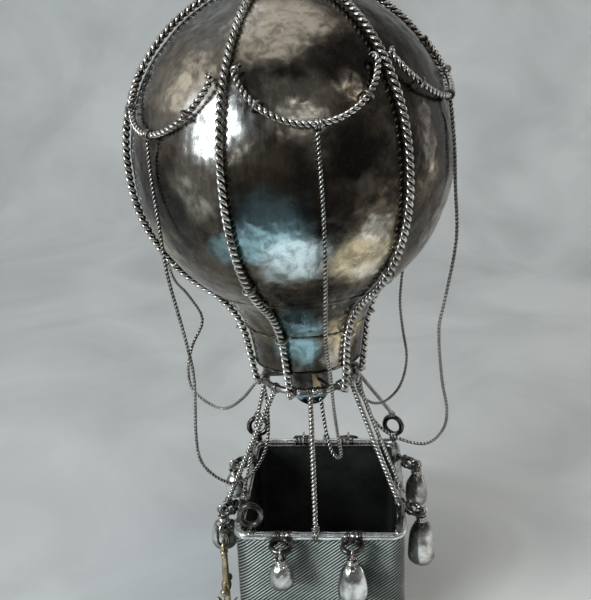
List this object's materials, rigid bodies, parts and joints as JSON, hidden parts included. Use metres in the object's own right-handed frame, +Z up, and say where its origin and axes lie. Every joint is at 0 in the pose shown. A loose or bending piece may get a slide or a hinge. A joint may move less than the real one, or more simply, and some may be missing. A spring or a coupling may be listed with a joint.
{
  "type": "hot air balloon sculpture",
  "caption": "Tabletop metal hot air balloon: beaten globe with roped seams and swags, burner cup and load ring, and a ribbed open basket hung with swinging sandbags and an anchor.",
  "frame": {"origin": "centre of the basket floor's underside", "axes": "+Z up through the envelope, -Y towards the front wall that faces the camera, +X to the right as seen from the front"},
  "size_m": [0.1318, 0.1303, 0.2833],
  "materials": {
    "beaten_sheet": "beaten and polished, with dark and brown tarnish",
    "plain_metal": "polished, lightly tarnished",
    "twisted_wire": "two bright strands with dark tarnish between them",
    "staple_wire": "dull, tarnished",
    "ribbed_sheet": "slanting ribs with dark grooves",
    "dark_wire": "dark tarnish with bright worn edges",
    "polished_bag": "polished, slightly uneven",
    "anchor_metal": "brown tarnish, worn bright on the high spots"
  },
  "bodies": {
    "balloon": {"envelope_bulb": "beaten_sheet", "envelope_throat": "beaten_sheet", "neck_sleeve": "beaten_sheet", "crown_cap": "plain_metal", "meridian_rope_1": "twisted_wire", "meridian_rope_2": "twisted_wire", "meridian_rope_3": "twisted_wire", "meridian_rope_4": "twisted_wire", "meridian_rope_5": "twisted_wire", "meridian_rope_6": "twisted_wire", "swag_1": "twisted_wire", "swag_2": "twisted_wire", "swag_3": "twisted_wire", "swag_4": "twisted_wire", "swag_5": "twisted_wire", "swag_6": "twisted_wire", "drop_line_1": "twisted_wire", "drop_line_2": "twisted_wire", "drop_line_3": "twisted_wire", "drop_line_4": "twisted_wire", "drop_line_5": "twisted_wire", "drop_line_6": "twisted_wire", "rope_staples": "staple_wire", "swag_staples": "staple_wire", "load_ring": "plain_metal", "burner_cup": "plain_metal", "cup_struts": "staple_wire", "load_rope_front_left": "twisted_wire", "load_rope_front_mid": "twisted_wire", "load_rope_front_right": "twisted_wire", "load_rope_right_mid": "twisted_wire", "load_rope_back_right": "twisted_wire", "load_rope_back_mid": "twisted_wire", "load_rope_back_left": "twisted_wire", "load_rope_left_mid": "twisted_wire", "wall_front": "ribbed_sheet", "wall_back": "ribbed_sheet", "wall_left": "ribbed_sheet", "wall_right": "ribbed_sheet", "corner_shells": "ribbed_sheet", "basket_floor": "ribbed_sheet", "basket_rim": "plain_metal", "corner_eyes": "dark_wire", "bag_eyes": "dark_wire"},
    "bag_1": {"sandbag_1": "polished_bag"},
    "bag_2": {"sandbag_2": "polished_bag"},
    "bag_3": {"sandbag_3": "polished_bag"},
    "bag_4": {"sandbag_4": "polished_bag"},
    "bag_5": {"sandbag_5": "polished_bag"},
    "bag_6": {"sandbag_6": "polished_bag"},
    "bag_7": {"sandbag_7": "polished_bag"},
    "bag_8": {"sandbag_8": "polished_bag"},
    "link": {"anchor_link": "dark_wire"},
    "anchor": {"anchor_body": "anchor_metal", "anchor_stock": "anchor_metal"}
  },
  "joints": [
    {"name": "bag_1_swing", "type": "hinge", "parent": "balloon", "child": "bag_1", "pos_m": [-0.0155, -0.04989, 0.052], "axis": [-1, 0, 0], "range_deg": [-4, 60]},
    {"name": "bag_2_swing", "type": "hinge", "parent": "balloon", "child": "bag_2", "pos_m": [0.0135, -0.04989, 0.052], "axis": [-1, 0, 0], "range_deg": [-4, 60]},
    {"name": "bag_3_swing", "type": "hinge", "parent": "balloon", "child": "bag_3", "pos_m": [0.04339, -0.018, 0.052], "axis": [0, -1, 0], "range_deg": [-4, 60]},
    {"name": "bag_4_swing", "type": "hinge", "parent": "balloon", "child": "bag_4", "pos_m": [0.04339, 0.022, 0.052], "axis": [0, -1, 0], "range_deg": [-4, 60]},
    {"name": "bag_5_swing", "type": "hinge", "parent": "balloon", "child": "bag_5", "pos_m": [0.011, 0.04989, 0.052], "axis": [1, 0, 0], "range_deg": [-4, 60]},
    {"name": "bag_6_swing", "type": "hinge", "parent": "balloon", "child": "bag_6", "pos_m": [-0.0115, 0.04989, 0.052], "axis": [1, 0, 0], "range_deg": [-4, 60]},
    {"name": "bag_7_swing", "type": "hinge", "parent": "balloon", "child": "bag_7", "pos_m": [-0.04339, 0.022, 0.052], "axis": [0, 1, 0], "range_deg": [-4, 60]},
    {"name": "bag_8_swing", "type": "hinge", "parent": "balloon", "child": "bag_8", "pos_m": [-0.04339, -0.018, 0.052], "axis": [0, 1, 0], "range_deg": [-4, 60]},
    {"name": "link_swing", "type": "hinge", "parent": "balloon", "child": "link", "pos_m": [-0.04146, -0.033, 0.052], "axis": [0, 1, 0], "range_deg": [-2, 60]},
    {"name": "anchor_sway", "type": "hinge", "parent": "link", "child": "anchor", "pos_m": [-0.04146, -0.033, 0.0438], "axis": [-1, 0, 0], "range_deg": [-3, 30]}
  ]
}
